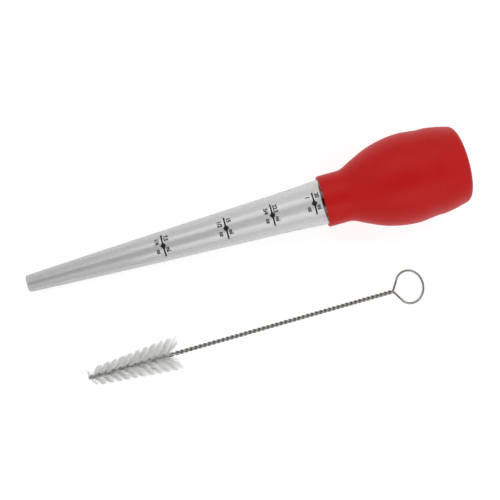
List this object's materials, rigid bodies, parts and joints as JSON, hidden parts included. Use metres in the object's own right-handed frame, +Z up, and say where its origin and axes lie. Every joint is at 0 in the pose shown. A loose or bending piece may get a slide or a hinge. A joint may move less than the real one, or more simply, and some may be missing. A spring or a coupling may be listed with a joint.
{
  "type": "kitchen baster with cleaning brush",
  "caption": "Clear tapered baster tube with volume marks and a red squeeze bulb, lying beside a twisted-wire tube brush with a ring handle.",
  "frame": {"origin": "under the middle of the whole set's box, on the table that both pieces lie on", "axes": "+Z up, +X from the baster's tip towards its bulb, the brush on the -Y side"},
  "size_m": [0.2547, 0.0978, 0.0523],
  "materials": {
    "clear_plastic": "clear, polished, slightly grey",
    "red_rubber": "satin moulded silicone rubber",
    "black_ink": "printed ink",
    "bright_wire": "bright drawn wire",
    "white_nylon": "translucent nylon filament"
  },
  "bodies": {
    "tube": {"tube": "clear_plastic", "mark_7_5ml": "black_ink", "mark_15ml": "black_ink", "mark_22_5ml": "black_ink", "mark_30ml": "black_ink"},
    "bulb": {"bulb": "red_rubber"},
    "brush": {"brush_wire": "bright_wire", "bristles": "white_nylon"}
  },
  "joints": [
    {"name": "bulb_pull", "type": "slide", "parent": "tube", "child": "bulb", "axis": [0.9954, 0, 0.0959], "range_m": [0, 0.04]},
    {"name": "brush_lift", "type": "slide", "parent": "tube", "child": "brush", "axis": [0, 0, 1], "range_m": [0, 0.1]}
  ]
}
